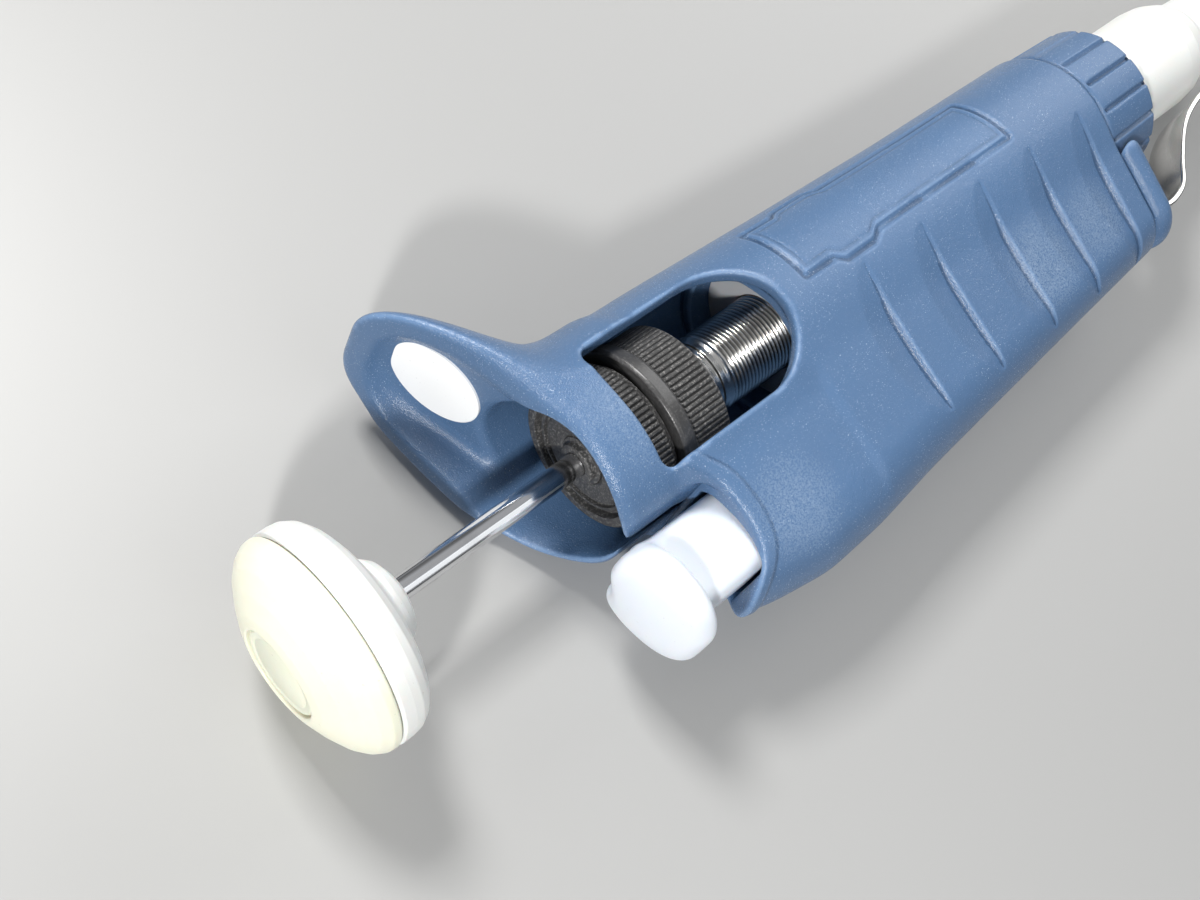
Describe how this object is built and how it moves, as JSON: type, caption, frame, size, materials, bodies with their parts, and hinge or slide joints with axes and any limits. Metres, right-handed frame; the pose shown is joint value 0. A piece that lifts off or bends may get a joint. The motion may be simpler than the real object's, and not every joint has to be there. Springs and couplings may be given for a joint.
{
  "type": "adjustable micropipette",
  "caption": "Adjustable air-displacement pipette: upright handle with finger hook, press-down plunger, knurled volume wheel, drum display and tip ejector.",
  "frame": {"origin": "end of the tip nose, on the plunger axis", "axes": "+Z along the plunger axis towards the push button, -X towards the finger hook, +X towards the ejector, -Y towards the display, +Y towards the open window"},
  "size_m": [0.0559, 0.0273, 0.2371],
  "materials": {
    "blue_plastic": "satin moulded plastic",
    "white_label": "printed film, left blank",
    "cream_plastic": "smooth moulded plastic",
    "white_plastic": "smooth moulded plastic",
    "cool_white_plastic": "smooth moulded plastic",
    "clear_plastic": "clear moulded window",
    "grey_plastic": "moulded",
    "black_plastic": "moulded",
    "red_plastic": "moulded",
    "brass": "turned",
    "steel": "turned",
    "polished_steel": "polished strip",
    "chromed_steel": "ground and chromed",
    "spring_steel": "drawn wire",
    "black_rubber": "moulded"
  },
  "bodies": {
    "handle": {"handle_body": "blue_plastic", "hook_label": "white_label", "display_lens": "clear_plastic", "counter_frame": "grey_plastic", "screw_nut": "brass", "pinion_shaft": "steel", "counter_screws": "steel"},
    "plunger": {"piston_head": "blue_plastic", "piston": "chromed_steel", "piston_spring": "spring_steel"},
    "push_button": {"push_button_cap": "cream_plastic", "push_button_hub": "white_plastic", "push_button_label": "cream_plastic", "operating_rod": "chromed_steel", "rod_stop_collar": "steel"},
    "wheel_carriage": {"guide_ring": "black_plastic"},
    "thumbwheel": {"thumbwheel_upper": "black_plastic", "thumbwheel_lower": "black_plastic", "thumbwheel_bush": "black_plastic", "micrometer_screw": "steel"},
    "counter_drive": {"drive_sleeve": "black_plastic", "tenths_drum": "red_plastic"},
    "units_counter": {"units_drum": "white_plastic"},
    "tens_counter": {"tens_drum": "white_plastic"},
    "counter_pinions": {"carry_pinions": "white_plastic"},
    "lower_part": {"tip_holder": "white_plastic", "spring_seat": "steel", "piston_seal": "white_plastic", "piston_o_ring": "black_rubber", "blowout_spring": "spring_steel"},
    "blowout_stop": {"blowout_ring": "white_plastic"},
    "nut": {"connecting_nut": "blue_plastic"},
    "ejector": {"ejector_button": "cool_white_plastic", "ejector_rod": "steel", "ejector_spring": "spring_steel", "ejector_foot": "blue_plastic", "ejector_arm": "polished_steel", "ejector_collar": "cool_white_plastic", "arm_rivet": "steel"}
  },
  "joints": [
    {"name": "plunger_press", "type": "slide", "parent": "handle", "child": "plunger", "axis": [0, 0, 1], "range_m": [-0.015, 0], "stiffness_N_per_m": 250, "springref_m": 0.004, "deforming": ["piston_spring"]},
    {"name": "push_button_turn", "type": "hinge", "parent": "plunger", "child": "push_button", "pos_m": [0, 0, 0.2], "axis": [0, 0, 1], "range_deg": [-6480.65, 0]},
    {"name": "volume_travel", "type": "slide", "parent": "handle", "child": "wheel_carriage", "axis": [0, 0, 1], "range_m": [-0.0108, 0]},
    {"name": "thumbwheel_turn", "type": "hinge", "parent": "wheel_carriage", "child": "thumbwheel", "pos_m": [0, 0, 0.184], "axis": [0, 0, 1], "range_deg": [-6480.65, 0]},
    {"name": "counter_drive_turn", "type": "hinge", "parent": "handle", "child": "counter_drive", "pos_m": [0, 0, 0.13], "axis": [0, 0, 1], "range_deg": [-6480.65, 0]},
    {"name": "units_turn", "type": "hinge", "parent": "handle", "child": "units_counter", "pos_m": [0, 0, 0.137], "axis": [0, 0, 1], "range_deg": [-648.06, 0]},
    {"name": "tens_turn", "type": "hinge", "parent": "handle", "child": "tens_counter", "pos_m": [0, 0, 0.143], "axis": [0, 0, 1], "range_deg": [-64.81, 0]},
    {"name": "pinion_turn", "type": "hinge", "parent": "handle", "child": "counter_pinions", "pos_m": [0.0102, 0, 0.134], "axis": [0, 0, 1], "range_deg": [0, 1620.16]},
    {"name": "tip_holder_drop", "type": "slide", "parent": "handle", "child": "lower_part", "axis": [0, 0, 1], "range_m": [-0.003, 0]},
    {"name": "nut_turn", "type": "hinge", "parent": "lower_part", "child": "nut", "pos_m": [0, 0, 0.098], "axis": [0, 0, 1], "range_deg": [-720.07, 0]},
    {"name": "blowout_sink", "type": "slide", "parent": "lower_part", "child": "blowout_stop", "axis": [0, 0, 1], "range_m": [-0.003, 0], "deforming": ["blowout_spring"]},
    {"name": "ejector_press", "type": "slide", "parent": "handle", "child": "ejector", "axis": [0, 0, 1], "range_m": [-0.006, 0], "stiffness_N_per_m": 300, "springref_m": 0.003, "deforming": ["ejector_spring"]}
  ],
  "couplings": [
    {"joint": "thumbwheel_turn", "follows": "volume_travel", "rad_per_m": 10472},
    {"joint": "push_button_turn", "follows": "volume_travel", "rad_per_m": 10472},
    {"joint": "counter_drive_turn", "follows": "volume_travel", "rad_per_m": 10472},
    {"joint": "units_turn", "follows": "volume_travel", "rad_per_m": 1047.2},
    {"joint": "tens_turn", "follows": "volume_travel", "rad_per_m": 104.72},
    {"joint": "pinion_turn", "follows": "volume_travel", "rad_per_m": -2618},
    {"joint": "nut_turn", "follows": "tip_holder_drop", "rad_per_m": 4188.8},
    {"joint": "blowout_sink", "follows": "plunger_press", "ratio": 0.2}
  ]
}
